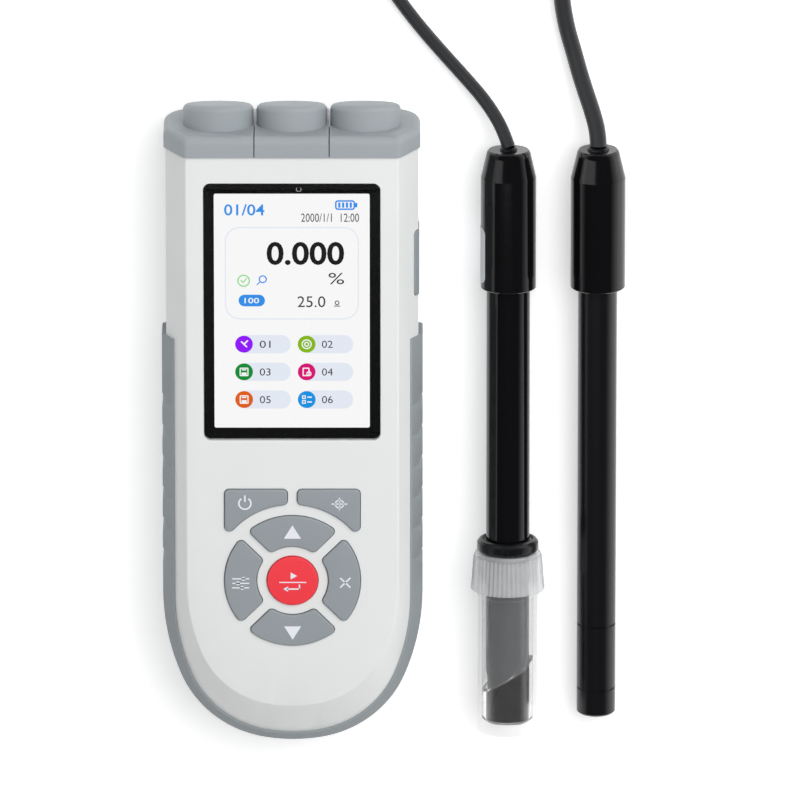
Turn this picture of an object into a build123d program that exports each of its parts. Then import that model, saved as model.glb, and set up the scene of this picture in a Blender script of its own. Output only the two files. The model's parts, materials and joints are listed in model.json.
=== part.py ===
from build123d import *
import math
import os

# A handheld water meter with its two probes, all lying on a table. Lengths are in millimetres.
# X runs across the meter, Y up it towards the sockets, and Z up out of the screen.
# The origin is at the middle of the meter's back, on the table.

os.makedirs("parts", exist_ok=True)

# Case
case_top = 97.5
face_z = 35.0
border_z = 28.0
parting_z = 23.0
face_half = 33.5
side_half = 39.8
face_end = -83.5
border_end = -94.3
side_end = -97.2
back_radius = 9.0
face_round = 0.9
wall = 2.5
front_wall = 2.2
gasket = 0.4
fit = 0.05
slip = 0.1

# The rounded lower end, as shares of the outline's half width
side_arc = 1.8
side_turn = 22.5
corner_arc = 0.85
corner_turn = 80.0

# Screws that hold the two shells
screw_places = [(33.0, 84.0), (33.0, 8.0), (24.0, -66.0)]
boss_radius = 3.4
screw_radius = 1.5
screw_head_radius = 2.9
screw_head_height = 2.0
screw_recess = 3.2
screw_cross = (0.6, 2.6)
screw_top = 29.0

# Grip band round the lower half
grip_top = 36.0
grip_low_z = 9.5
grip_border = 0.8
grip_side = 1.4
grip_round = 1.1
notch_depth = 1.1
notch_rise = 3.0
notch_fall = 2.1
notch_pitch = 10.25
notch_count = 6
notch_first = 14.0

# Covers over the sockets at the upper end
cover_overhang = 0.6
cover_thickness = 6.6
cover_round = 2.5
cover_floor = 0.3
seam_x = 11.8
seam_gap = 0.3
cap_pitch = 23.2
cap_radius = 11.1
cap_z = 18.0
cap_front_rise = 8.4
cap_back_rise = 4.2
cap_round = 1.8
cap_bore = 9.0
cap_roof = 1.6
skirt_wall = 1.4
skirt_length = 2.7

# Socket panel and sockets
panel_face = 94.5
panel_thickness = 3.0
flange_thickness = 2.0
groove_depth = 1.2
socket_thread = 6.0
socket_flange = 7.4
socket_flange_height = 1.5
socket_seal = 0.6
socket_nut = 8.6
socket_nut_height = 2.4
socket_tail = 9.0
bnc_radius = 4.8
bnc_length = 9.4
bnc_bore = 3.9
lug_radius = 0.9
round_radius = 5.6
round_length = 8.0
round_bore = 4.6

# Window, mask, screen and light sensor
lens_width = 55.6
lens_height = 84.1
lens_y = 46.9
lens_round = 2.2
lens_thickness = 1.35
lens_gap = 0.15
lens_bevel = 0.15
mask_thickness = 0.2
view_width = 49.0
view_height = 76.9
view_round = 0.6
module_width = 52.0
module_height = 81.0
module_thickness = 3.0
module_step = 0.55
sensor_place = (2.2, 86.8)
sensor_radius = 0.7

# Keys
key_y = -41.7
enter_radius = 8.05
ring_inner = 11.4
ring_outer = 21.5
ring_gap = 3.4
upper_top = -11.5
upper_half = 21.4
upper_arc = 25.3
upper_gap = 3.2
key_corner = 1.5
key_rise = 0.9
key_edge = 0.45
key_gap = 0.25
key_flange = 0.6
key_flange_height = 1.0
key_travel = 0.8

# Board, mat and what they carry
board_half = 29.0
board_low = -62.0
board_high = 88.0
board_thickness = 1.6
board_top = 29.5
mat_half = 24.6
mat_low = -61.0
mat_high = -9.0
mat_thickness = 0.6
dome_radius = 3.2
dome_hollow = 2.4
dome_roof = 0.5
switch_radius = 2.0
switch_height = 0.4
post_radius = 1.8
post_places = [(27.0, -2.0), (27.0, -57.0)]
board_screw_radius = 0.8
board_screw_head = 1.5
battery_size = (48.0, 60.0, 9.0)
battery_y = 14.0
buzzer_radius = 6.0
buzzer_height = 5.0
buzzer_y = -40.0

# Charging port on the right side, under its own cover
port_low = 49.4
port_high = 70.6
port_low_z = 12.0
port_high_z = 25.5
port_proud = 0.3
port_inner_x = 37.5
port_corner = 1.6
port_gap = 0.2
port_pad = 3.0
usb_size = (8.0, 9.0, 3.2)
usb_z = 18.0
usb_bore = (7.0, 8.2, 2.4)
usb_round = 0.6
usb_tongue = (6.0, 6.2, 0.7)
port_board_size = (17.0, 20.0, 1.2)

# Bottled probe, on the left
ph_x = 68.3
ph_top = 92.6
ph_top_radius = 6.75
ph_cone = 83.7
ph_handle_radius = 8.8
ph_handle_low = 47.6
ph_shaft_radius = 6.93
ph_shaft_wall = 1.3
ph_shaft_in = 12.0
ph_shaft_low = -72.0
guard_low = -94.4
guard_wall = 1.7
guard_spigot = 6.0
guard_slot_top = -83.4
guard_slot = 5.4
guard_slots = 4
guard_turn = 25.0
bulb_radius = 3.6
bulb_low = -92.4
collar_height = 1.0
collar_depth = 6.0

# Its storage bottle
bottle_radius = 9.4
bottle_wall = 1.2
bottle_mouth = -42.0
bottle_low = -98.7
bottle_floor = 3.4
bottle_collar = 9.9
bottle_collar_top = -51.7
bottle_collar_low = -53.2
cap_high = -39.2
cap_low = -51.5
cap_high_radius = 10.9
cap_low_radius = 11.75
cap_roof_thickness = 1.8
cap_thread_gap = 0.15
rib_count = 48
rib_depth = 0.45
rib_top = -40.4
seal_top = -34.8
seal_radius = 9.76
solution_left = -85.5
solution_right = -74.4
solution_gap = 0.05

# Oxygen probe, on the right
do_x = 96.6
do_top = 93.0
do_top_radius = 6.45
do_cone = 83.8
do_handle_radius = 8.68
do_handle_low = 47.6
do_shaft_radius = 6.17
do_shaft_wall = 1.3
do_sleeve_high = -64.9
do_cap_high = -86.4
do_low = -94.8
do_groove = 0.5
do_groove_depth = 0.4
do_core_radius = 3.0
do_core_gap = 0.2
do_chamfer = 0.6

# Cables, their coils and plugs
ph_cable = 4.2
ph_coil_centre = (-14.0, 190.0)
do_cable = 5.3
do_coil_centre = (58.0, 196.0)
coil_middle = 5.5
coil_half = 1.5
coil_floor = 0.1
ph_tail = 16.0
do_tail = 19.0
ph_boot_length = 14.0
ph_body_radius = 5.2
ph_body_length = 6.0
ph_sleeve_radius = 7.25
ph_sleeve_length = 13.5
do_boot_length = 14.0
do_body_radius = 6.4
do_body_length = 12.0
do_nut_radius = 8.0
do_nut_length = 11.0
pin_radius = 0.65
pin_count = 4
pin_pitch = 2.2
knurl_width = 0.6
knurl_depth = 1.0
ph_knurls = 20
do_knurls = 24

# Routes of the cables from the probes to their coils
ph_route = [
    (68.3, 93.6, 8.56),
    (67.4, 98.1, 8.2),
    (65.7, 102.8, 7.1),
    (63.1, 107.7, 5.4),
    (59.4, 113.3, 3.8),
    (54.4, 120.7, 2.7),
    (49.3, 130.1, 2.2),
    (45.2, 140.6, 2.15),
    (39.7, 151.0, 2.15),
    (31.4, 159.9, 2.15),
    (22.6, 167.5, 2.15),
    (15.8, 176.6, 2.15),
    (13.2, 190.0, 2.15),
]
do_route = [
    (96.6, 94.0, 9.53),
    (95.8, 99.2, 9.1),
    (94.2, 105.0, 7.9),
    (92.2, 111.6, 6.2),
    (89.7, 120.2, 4.3),
    (87.0, 129.8, 3.1),
    (84.9, 141.2, 2.7),
    (84.3, 153.4, 2.7),
    (86.3, 167.0, 2.7),
    (90.6, 181.0, 2.7),
    (92.4, 196.0, 2.7),
]

# Values worked out from those above
slope_run = (side_half - face_half) / (face_z - parting_z)
border_half = face_half + slope_run * (face_z - border_z)
roof_z = face_z - front_wall
lens_low_z = face_z - lens_thickness - 0.05
mask_low_z = lens_low_z - mask_thickness
key_low_z = roof_z - slip - key_flange_height
dome_top = key_low_z - key_travel - slip / 2
back_top = parting_z - gasket
groove_low = panel_face - panel_thickness - flange_thickness - slip
groove_high = panel_face - panel_thickness + slip


def case_outline(z, half_width, end_y, top_y=case_top):
    """One level of the case, flat at the top and rounded at its lower end."""
    first, last = math.radians(side_turn), math.radians(corner_turn)
    side_r = side_arc * half_width
    corner_r = corner_arc * half_width
    covered = side_r * (1 - math.cos(first)) + corner_r * (math.cos(first) - math.cos(last))
    end_r = (half_width - covered) / math.cos(last)
    rise = side_r * math.sin(first) + corner_r * (math.sin(last) - math.sin(first))
    rise += end_r * (1 - math.sin(last))
    with BuildSketch(Plane.XY.offset(z)) as outline:
        with BuildLine():
            flat = Line((0, top_y), (half_width, top_y))
            side = Line(flat @ 1, (half_width, end_y + rise))
            bulge = JernArc(side @ 1, side % 1, side_r, -side_turn)
            corner = JernArc(bulge @ 1, bulge % 1, corner_r, side_turn - corner_turn)
            JernArc(corner @ 1, corner % 1, end_r, corner_turn - 90)
            mirror(about=Plane.YZ)
        make_face()
    return outline.sketch


def end_section(y, grow=0.0):
    """The straight part's cross-section at y, grown all round or shrunk; it extrudes towards -Y."""
    with BuildSketch(Plane(origin=(0, y, 0), x_dir=(1, 0, 0), z_dir=(0, -1, 0))) as section:
        with BuildLine():
            Polyline(
                (-face_half, face_z),
                (face_half, face_z),
                (side_half, parting_z),
                (side_half, 0),
                (-side_half, 0),
                (-side_half, parting_z),
                close=True,
            )
        make_face()
        fillet(section.vertices().group_by(Axis.Y)[0], back_radius)
        if grow:
            offset(amount=grow, kind=Kind.INTERSECTION, mode=Mode.REPLACE)
    return section.sketch


def turned(plane, points):
    """A round piece about the plane's X axis, from half of its profile as (along, radius) points."""
    with BuildPart() as piece:
        with BuildSketch(plane):
            with BuildLine():
                Polyline(*points, close=True)
            make_face()
        revolve(axis=Axis(plane.origin, plane.x_dir))
    return piece.part


def save(part, name):
    part.label = name
    export_step(part, f"parts/{name}.step")


def mirrored(places):
    """The places and their mirror images across the meter."""
    return [(side * x, y) for x, y in places for side in (1, -1)]


screws = mirrored(screw_places)
posts = mirrored(post_places)
socket_places = [(-cap_pitch, cap_z), (0, cap_z), (cap_pitch, cap_z)]
end_plane = Plane(origin=(0, panel_face, 0), x_dir=(1, 0, 0), z_dir=(0, -1, 0))
port_middle = ((port_low + port_high) / 2, (port_low_z + port_high_z) / 2)
port_size = (port_high - port_low, port_high_z - port_low_z)
port_plane = Plane(origin=(0, 0, 0), x_dir=(0, 1, 0), z_dir=(1, 0, 0))

# Flat profiles of the keys, shared by the keys and the holes they rise through
with BuildSketch() as ring_keys:
    with Locations((0, key_y)):
        Circle(ring_outer)
        Circle(ring_inner, mode=Mode.SUBTRACT)
        Rectangle(ring_gap, 3 * ring_outer, rotation=45, mode=Mode.SUBTRACT)
        Rectangle(ring_gap, 3 * ring_outer, rotation=-45, mode=Mode.SUBTRACT)
    fillet(ring_keys.vertices(), key_corner)

with BuildSketch() as upper_keys:
    with Locations((0, upper_top)):
        Rectangle(2 * upper_half, upper_arc, align=(Align.CENTER, Align.MAX))
    with Locations((0, key_y)):
        Circle(upper_arc, mode=Mode.SUBTRACT)
    with Locations((0, upper_top)):
        Rectangle(upper_gap, 2 * upper_arc, mode=Mode.SUBTRACT)
    fillet(upper_keys.vertices(), key_corner)

with BuildSketch() as enter_key:
    with Locations((0, key_y)):
        Circle(enter_radius)

ring_up_down = ring_keys.faces().sort_by(Axis.Y)
ring_left_right = ring_keys.faces().sort_by(Axis.X)
upper_left_right = upper_keys.faces().sort_by(Axis.X)
key_faces = {
    "key_power": upper_left_right[0],
    "key_cal": upper_left_right[-1],
    "key_up": ring_up_down[-1],
    "key_down": ring_up_down[0],
    "key_set": ring_left_right[0],
    "key_esc": ring_left_right[-1],
    "key_enter": enter_key.faces()[0],
}
key_middles = [(face.center().X, face.center().Y) for face in key_faces.values()]

# The hollow inside the two shells, with their bosses and the pad behind the port left solid
with BuildPart() as case_cavity:
    extrude(case_outline(wall, side_half - wall, side_end + wall, case_top + 1), amount=parting_z - wall)
    fillet(case_cavity.edges().group_by(Axis.Z)[0].sort_by(Axis.Y)[:-1], back_radius - wall)
    loft(
        [
            case_outline(parting_z, side_half - wall, side_end + wall, case_top + 1),
            case_outline(border_z, border_half - wall, border_end + 1.4 * wall, case_top + 1),
        ],
        ruled=True,
    )
    loft(
        [
            case_outline(border_z, border_half - wall, border_end + 1.4 * wall, case_top + 1),
            case_outline(roof_z, face_half - wall * 0.5, face_end + wall * 0.4, case_top + 1),
        ],
        ruled=True,
    )
    with BuildSketch(Plane.XY):
        with Locations(*screws):
            Circle(boss_radius)
    extrude(amount=face_z, mode=Mode.SUBTRACT)
    with BuildSketch(port_plane.offset(port_inner_x - port_pad)):
        with Locations(port_middle):
            RectangleRounded(port_size[0] + 2 * port_pad, port_size[1] + 2 * port_pad, port_corner)
    extrude(amount=port_pad + wall, mode=Mode.SUBTRACT)
    extrude(end_section(groove_high, -groove_depth), amount=groove_high - groove_low)

# The recess that the port's cover lies in, cut through both shells and their gasket
with BuildPart() as port_recess:
    with BuildSketch(port_plane.offset(port_inner_x - port_gap)):
        with Locations(port_middle):
            RectangleRounded(port_size[0] + 2 * port_gap, port_size[1] + 2 * port_gap, port_corner)
    extrude(amount=side_half)
    with BuildSketch(port_plane.offset(port_inner_x - 2 * port_pad)):
        with Locations((port_middle[0], usb_z)):
            RectangleRounded(usb_size[1] + 2 * fit, usb_size[2] + 2 * fit, usb_round)
    extrude(amount=2 * port_pad)

with BuildPart() as front_shell:
    loft(
        [
            case_outline(parting_z, side_half, side_end),
            case_outline(border_z, border_half, border_end),
        ],
        ruled=True,
    )
    loft(
        [
            case_outline(border_z, border_half, border_end),
            case_outline(face_z, face_half, face_end),
        ],
        ruled=True,
    )
    fillet(front_shell.edges().group_by(Axis.Z)[-1].sort_by(Axis.Y)[:-1], face_round)
    add(case_cavity.part, mode=Mode.SUBTRACT)
    add(port_recess.part, mode=Mode.SUBTRACT)
    with BuildSketch(Plane.XY.offset(roof_z)):
        with Locations(*posts):
            Circle(post_radius)
    extrude(amount=board_top - roof_z)
    with BuildSketch(Plane.XY.offset(board_top)):
        with Locations(*posts):
            Circle(board_screw_radius + fit)
    extrude(amount=front_wall, mode=Mode.SUBTRACT)
    with BuildSketch(Plane.XY.offset(face_z)):
        with Locations((0, lens_y)):
            RectangleRounded(lens_width + 2 * lens_gap, lens_height + 2 * lens_gap, lens_round + lens_gap)
    extrude(amount=mask_low_z - face_z, mode=Mode.SUBTRACT)
    with BuildSketch(Plane.XY.offset(face_z)):
        with Locations((0, lens_y)):
            RectangleRounded(view_width + 1.2, view_height + 1.2, view_round + 0.6)
        with Locations(sensor_place):
            Circle(sensor_radius + 0.3)
    extrude(amount=-2 * front_wall, mode=Mode.SUBTRACT)
    with BuildSketch(Plane.XY.offset(face_z)):
        add(list(key_faces.values()))
        offset(amount=key_gap, kind=Kind.INTERSECTION, mode=Mode.REPLACE)
    extrude(amount=-2 * front_wall, mode=Mode.SUBTRACT)
    with BuildSketch(Plane.XY.offset(parting_z)):
        with Locations(*screws):
            Circle(screw_radius + fit)
    extrude(amount=screw_top + slip - parting_z, mode=Mode.SUBTRACT)
save(front_shell.part, "front_shell")

with BuildPart() as back_shell:
    extrude(case_outline(0, side_half, side_end), amount=back_top)
    fillet(back_shell.edges().group_by(Axis.Z)[0].sort_by(Axis.Y)[:-1], back_radius)
    add(case_cavity.part, mode=Mode.SUBTRACT)
    add(port_recess.part, mode=Mode.SUBTRACT)
    with BuildSketch(Plane.XY):
        with Locations(*screws):
            Circle(screw_head_radius + slip)
    extrude(amount=screw_recess, mode=Mode.SUBTRACT)
    with BuildSketch(Plane.XY):
        with Locations(*screws):
            Circle(screw_radius + slip)
    extrude(amount=back_top, mode=Mode.SUBTRACT)
    port_board_low = usb_z - usb_size[2] / 2 - port_board_size[2]
    port_board_x = port_inner_x - port_pad - slip - port_board_size[0] / 2
    with BuildSketch(Plane.XY.offset(wall)):
        with Locations((port_board_x, port_middle[0])):
            with GridLocations(port_board_size[0] - 5, port_board_size[1] - 5, 2, 2):
                Circle(post_radius)
    extrude(amount=port_board_low - wall)
save(back_shell.part, "back_shell")

with BuildPart() as case_gasket:
    extrude(case_outline(back_top, side_half - slip, side_end + slip, groove_low), amount=gasket)
    extrude(
        case_outline(back_top, side_half - wall, side_end + wall, groove_low + 1),
        amount=gasket,
        mode=Mode.SUBTRACT,
    )
    with Locations((port_inner_x - port_pad / 2, port_middle[0], back_top + gasket / 2)):
        Box(port_pad, port_size[0] + 2 * port_pad, gasket)
    add(port_recess.part, mode=Mode.SUBTRACT)
save(case_gasket.part, "case_gasket")

with BuildPart() as grip_band:
    loft(
        [
            case_outline(parting_z, side_half + grip_side, side_end - grip_side, grip_top),
            case_outline(border_z, border_half + grip_border, border_end - grip_border, grip_top),
        ],
        ruled=True,
    )
    extrude(
        case_outline(parting_z, side_half + grip_side, side_end - grip_side, grip_top),
        amount=grip_low_z - parting_z,
    )
    fillet(grip_band.edges().group_by(Axis.Z)[0].sort_by(Axis.Y)[:-1], grip_round)
    for side in (1, -1):
        for number in range(notch_count):
            deep_y = notch_first - number * notch_pitch
            cuts = []
            for z, x, depth in (
                (parting_z, side_half + grip_side, notch_depth),
                (border_z, border_half + grip_border, 0.05),
            ):
                share = depth / notch_depth
                with BuildSketch(Plane.XY.offset(z)) as notch:
                    with BuildLine():
                        Polyline(
                            (side * (x + 0.5), deep_y + notch_rise * share),
                            (side * x, deep_y + notch_rise * share),
                            (side * (x - depth), deep_y),
                            (side * x, deep_y - notch_fall * share),
                            (side * (x + 0.5), deep_y - notch_fall * share),
                            close=True,
                        )
                    make_face()
                cuts.append(notch.sketch)
            loft(cuts, ruled=True, mode=Mode.SUBTRACT)
            extrude(cuts[0], amount=grip_low_z - parting_z - 1, mode=Mode.SUBTRACT)
    loft(
        [
            case_outline(parting_z, side_half + fit, side_end - fit, grip_top + 1),
            case_outline(border_z, border_half + fit, border_end - fit, grip_top + 1),
        ],
        ruled=True,
        mode=Mode.SUBTRACT,
    )
    extrude(
        case_outline(parting_z, side_half + fit, side_end - fit, grip_top + 1),
        amount=-parting_z,
        mode=Mode.SUBTRACT,
    )
save(grip_band.part, "grip_band")

with BuildPart() as socket_panel:
    extrude(end_section(panel_face, -wall - fit), amount=panel_thickness)
    extrude(
        end_section(panel_face - panel_thickness, -groove_depth - fit),
        amount=flange_thickness,
    )
    with BuildSketch(end_plane):
        with Locations(*socket_places):
            Circle(socket_thread + slip)
    extrude(amount=panel_thickness + flange_thickness, mode=Mode.SUBTRACT)
save(socket_panel.part, "socket_panel")


def socket_axis(x):
    """A plane whose X axis points out of a socket, from the panel's outer face."""
    return Plane(origin=(x, panel_face, cap_z), x_dir=(0, 1, 0), z_dir=(1, 0, 0))


def socket_shell(x, radius, length, bore):
    """A threaded socket with its flange; a plastic insert fills its bore."""
    flange_low = socket_seal
    flange_high = flange_low + socket_flange_height
    return turned(
        socket_axis(x),
        [
            (-socket_tail, bore),
            (flange_high + length, bore),
            (flange_high + length, radius),
            (flange_high, radius),
            (flange_high, socket_flange),
            (flange_low, socket_flange),
            (flange_low, socket_thread),
            (-socket_tail, socket_thread),
        ],
    )


with BuildPart() as bnc_socket:
    add(socket_shell(-cap_pitch, bnc_radius, bnc_length, bnc_bore))
    lug_y = panel_face + socket_seal + socket_flange_height + 0.75 * bnc_length
    with BuildSketch(Plane.XY.offset(cap_z - bnc_radius - lug_radius)):
        with Locations((-cap_pitch, lug_y)):
            Circle(lug_radius)
    extrude(amount=2 * (bnc_radius + lug_radius))
    with BuildSketch(end_plane.offset(-2 * bnc_length)):
        with Locations((-cap_pitch, cap_z)):
            Circle(bnc_bore)
    extrude(amount=4 * bnc_length, mode=Mode.SUBTRACT)
save(bnc_socket.part, "bnc_socket")
save(socket_shell(0, round_radius, round_length, round_bore), "middle_socket")
save(socket_shell(cap_pitch, round_radius, round_length, round_bore), "right_socket")

with BuildPart() as socket_inserts:
    for x, bore, low in (
        (-cap_pitch, bnc_bore, 3.0),
        (0, round_bore, 1.5),
        (cap_pitch, round_bore, 1.5),
    ):
        contact = 0.9 if x == -cap_pitch else 2.4
        add(
            turned(
                socket_axis(x),
                [
                    (-socket_tail - 2, 0),
                    (bnc_length - low, 0),
                    (bnc_length - low, contact),
                    (low, contact),
                    (low, bore - fit),
                    (-socket_tail - 2, bore - fit),
                ],
            )
        )
save(socket_inserts.part, "socket_inserts")

with BuildPart() as socket_nuts:
    with BuildSketch(end_plane.offset(panel_thickness + flange_thickness)):
        with Locations(*socket_places):
            RegularPolygon(socket_nut, 6)
            Circle(socket_thread + fit, mode=Mode.SUBTRACT)
    extrude(amount=socket_nut_height)
save(socket_nuts.part, "socket_nuts")

with BuildPart() as socket_seals:
    with BuildSketch(end_plane):
        with Locations(*socket_places):
            Circle(socket_flange - 0.4)
            Circle(socket_thread + fit, mode=Mode.SUBTRACT)
    extrude(amount=-socket_seal)
save(socket_seals.part, "socket_seals")


def socket_cover(name, low_x, high_x, cap_x):
    """One third of the upper end plate, with its round cap and the skirt that plugs the case."""
    cover_top = case_top + cover_thickness
    with BuildPart() as cover:
        extrude(end_section(cover_top, cover_overhang), amount=cover_thickness)
        fillet(cover.edges().group_by(Axis.Y)[-1], cover_round)
        with Locations(((low_x + high_x) / 2, 0, cover_floor)):
            Box(
                high_x - low_x,
                3 * cover_top,
                2 * face_z,
                align=(Align.CENTER, Align.CENTER, Align.MIN),
                mode=Mode.INTERSECT,
            )
        with BuildSketch(end_plane.offset(panel_face - cover_top)):
            with Locations((cap_x, cap_z)):
                Circle(cap_radius)
        extrude(amount=-cap_front_rise)
        rise = cap_front_rise - cap_back_rise
        split(
            bisect_by=Plane(
                origin=(cap_x, cover_top + cap_front_rise - rise / 2, cap_z),
                z_dir=(0, 2 * cap_radius, -rise),
            ),
            keep=Keep.BOTTOM,
        )
        fillet(cover.edges().filter_by(GeomType.ELLIPSE), cap_round)
        with BuildSketch(end_plane.offset(panel_face - case_top)):
            with Locations((cap_x, cap_z)):
                Circle(cap_bore + skirt_wall)
        extrude(amount=skirt_length)
        with BuildSketch(end_plane.offset(panel_face - cover_top - cap_back_rise + cap_roof)):
            with Locations((cap_x, cap_z)):
                Circle(cap_bore)
        extrude(amount=2 * cap_radius, mode=Mode.SUBTRACT)
    save(cover.part, name)


outer_x = side_half + 2 * cover_overhang
socket_cover("left_socket_cover", -outer_x, -seam_x - seam_gap / 2, -cap_pitch)
socket_cover("middle_socket_cover", seam_gap / 2 - seam_x, seam_x - seam_gap / 2, 0)
socket_cover("right_socket_cover", seam_x + seam_gap / 2, outer_x, cap_pitch)

with BuildPart() as lens:
    with BuildSketch(Plane.XY.offset(lens_low_z)):
        with Locations((0, lens_y)):
            RectangleRounded(lens_width, lens_height, lens_round)
    extrude(amount=lens_thickness)
    chamfer(lens.edges().group_by(Axis.Z)[-1], lens_bevel)
save(lens.part, "lens")

with BuildPart() as lens_mask:
    with BuildSketch(Plane.XY.offset(mask_low_z)):
        with Locations((0, lens_y)):
            RectangleRounded(lens_width, lens_height, lens_round)
            RectangleRounded(view_width, view_height, view_round, mode=Mode.SUBTRACT)
        with Locations(sensor_place):
            Circle(sensor_radius + 0.1, mode=Mode.SUBTRACT)
    extrude(amount=mask_thickness)
save(lens_mask.part, "lens_mask")

with BuildPart() as display_module:
    with BuildSketch(Plane.XY.offset(roof_z - slip)):
        with Locations((0, lens_y)):
            RectangleRounded(module_width, module_height, 1.0)
    extrude(amount=-module_thickness)
    with BuildSketch(Plane.XY.offset(roof_z - slip)):
        with Locations((0, lens_y)):
            RectangleRounded(view_width + 0.8, view_height + 0.8, view_round)
    extrude(amount=module_step)
save(display_module.part, "display_module")

with BuildPart() as light_sensor:
    with BuildSketch(Plane.XY.offset(roof_z - slip)):
        with Locations(sensor_place):
            Circle(sensor_radius)
    extrude(amount=lens_low_z - roof_z)
save(light_sensor.part, "light_sensor")

for name, face in key_faces.items():
    with BuildPart() as key:
        with BuildSketch(Plane.XY.offset(key_low_z)):
            add(face)
        extrude(amount=face_z + key_rise - key_low_z)
        fillet(key.edges().group_by(Axis.Z)[-1], key_edge)
        with BuildSketch(Plane.XY.offset(key_low_z)):
            add(face)
            offset(amount=key_flange, mode=Mode.REPLACE)
        extrude(amount=key_flange_height)
    save(key.part, name)

with BuildPart() as keypad_mat:
    with BuildSketch(Plane.XY.offset(board_top)):
        with Locations((0, (mat_low + mat_high) / 2)):
            RectangleRounded(2 * mat_half, mat_high - mat_low, 3)
    extrude(amount=mat_thickness)
    with BuildSketch(Plane.XY.offset(board_top)):
        with Locations(*key_middles):
            Circle(dome_radius)
    extrude(amount=dome_top - board_top)
    with BuildSketch(Plane.XY.offset(board_top)):
        with Locations(*key_middles):
            Circle(dome_hollow)
    extrude(amount=dome_top - dome_roof - board_top, mode=Mode.SUBTRACT)
save(keypad_mat.part, "keypad_mat")

with BuildPart() as key_switches:
    with BuildSketch(Plane.XY.offset(board_top)):
        with Locations(*key_middles):
            Circle(switch_radius)
    extrude(amount=switch_height)
save(key_switches.part, "key_switches")

with BuildPart() as main_board:
    with BuildSketch(Plane.XY.offset(board_top)):
        with Locations((0, board_low)):
            Rectangle(2 * board_half, board_high - board_low, align=(Align.CENTER, Align.MIN))
        with Locations(*posts):
            Circle(board_screw_radius + fit, mode=Mode.SUBTRACT)
    extrude(amount=-board_thickness)
save(main_board.part, "main_board")

board_low_z = board_top - board_thickness
with BuildPart() as board_screws:
    with BuildSketch(Plane.XY.offset(board_low_z)):
        with Locations(*posts):
            Circle(board_screw_head)
    extrude(amount=-board_screw_head)
    with BuildSketch(Plane.XY.offset(board_low_z)):
        with Locations(*posts):
            Circle(board_screw_radius)
    extrude(amount=board_thickness + front_wall / 2)
save(board_screws.part, "board_screws")

with BuildPart() as battery:
    with Locations((0, battery_y, wall)):
        Box(*battery_size, align=(Align.CENTER, Align.CENTER, Align.MIN))
    fillet(battery.edges().filter_by(Axis.Y), battery_size[2] / 4)
save(battery.part, "battery")

with BuildPart() as buzzer:
    with BuildSketch(Plane.XY.offset(board_low_z)):
        with Locations((0, buzzer_y)):
            Circle(buzzer_radius)
    extrude(amount=-buzzer_height)
    with BuildSketch(Plane.XY.offset(board_low_z - buzzer_height)):
        with Locations((0, buzzer_y)):
            Circle(buzzer_radius / 5)
    extrude(amount=buzzer_height / 2, mode=Mode.SUBTRACT)
save(buzzer.part, "buzzer")

with BuildPart() as case_screws:
    with BuildSketch(Plane.XY.offset(screw_recess - screw_head_height)):
        with Locations(*screws):
            Circle(screw_head_radius)
    extrude(amount=screw_head_height)
    with BuildSketch(Plane.XY.offset(screw_recess)):
        with Locations(*screws):
            Circle(screw_radius)
    extrude(amount=screw_top - screw_recess)
    with BuildSketch(Plane.XY.offset(screw_recess - screw_head_height)):
        with Locations(*screws):
            Rectangle(*screw_cross)
            Rectangle(*screw_cross, rotation=90)
    extrude(amount=screw_head_height / 2, mode=Mode.SUBTRACT)
save(case_screws.part, "case_screws")

with BuildPart() as port_board:
    with Locations((port_board_x, port_middle[0], port_board_low)):
        Box(*port_board_size, align=(Align.CENTER, Align.CENTER, Align.MIN))
save(port_board.part, "port_board")

usb_x = port_inner_x - port_gap - usb_size[0] / 2
with BuildPart() as usb_socket:
    with Locations((usb_x, port_middle[0], usb_z)):
        Box(*usb_size)
    fillet(usb_socket.edges().filter_by(Axis.X), usb_round)
    with Locations((usb_x + usb_size[0] - usb_bore[0], port_middle[0], usb_z)):
        Box(usb_size[0], usb_bore[1], usb_bore[2], mode=Mode.SUBTRACT)
    with Locations((usb_x, port_middle[0], usb_z)):
        Box(*usb_tongue)
save(usb_socket.part, "usb_socket")

with BuildPart() as side_port_cover:
    extrude(end_section(port_high + 1, port_proud), amount=port_size[0] + 2)
    with BuildSketch(port_plane.offset(port_inner_x)):
        with Locations(port_middle):
            RectangleRounded(*port_size, port_corner)
    extrude(amount=side_half, mode=Mode.INTERSECT)
save(side_port_cover.part, "side_port_cover")


def lying_axis(x, low_y, low_radius, high_y, high_radius):
    """A plane whose X axis runs up a probe that lies on the table on two round ends."""
    slope = (high_radius - low_radius) / (high_y - low_y)
    return Plane(origin=(x, 0, low_radius - slope * low_y), x_dir=(0, 1, slope), z_dir=(1, 0, 0))


def across(plane, along):
    """The plane square to a probe's axis at a distance along it, facing up the probe."""
    return Plane(origin=plane.from_local_coords((along, 0, 0)), x_dir=(1, 0, 0), z_dir=plane.x_dir)


def probe_handle(plane, name, top, top_radius, cone, radius, low, shaft_radius, cable):
    """A moulded handle with a tapered head, bored for its shaft and its cable collar."""
    collar_radius = 0.66 * cable
    with BuildPart() as handle:
        add(
            turned(
                plane,
                [
                    (low, shaft_radius + fit),
                    (low, radius - 0.3),
                    (low + 0.3, radius),
                    (cone, radius),
                    (top - 0.6, top_radius + 0.15),
                    (top, top_radius - 0.4),
                    (top, collar_radius + fit),
                    (top - collar_depth, collar_radius + fit),
                    (top - collar_depth, cable / 2 + fit),
                    (low + ph_shaft_in, cable / 2 + fit),
                    (low + ph_shaft_in, shaft_radius + fit),
                ],
            )
        )
    save(handle.part, f"{name}_handle")
    collar = turned(
        plane,
        [
            (top - collar_depth, cable / 2 + fit),
            (top + collar_height - fit, cable / 2 + fit),
            (top + collar_height - fit, collar_radius - 0.3),
            (top + 0.3, collar_radius),
            (top - collar_depth, collar_radius),
        ],
    )
    save(collar, f"{name}_cable_collar")


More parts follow.
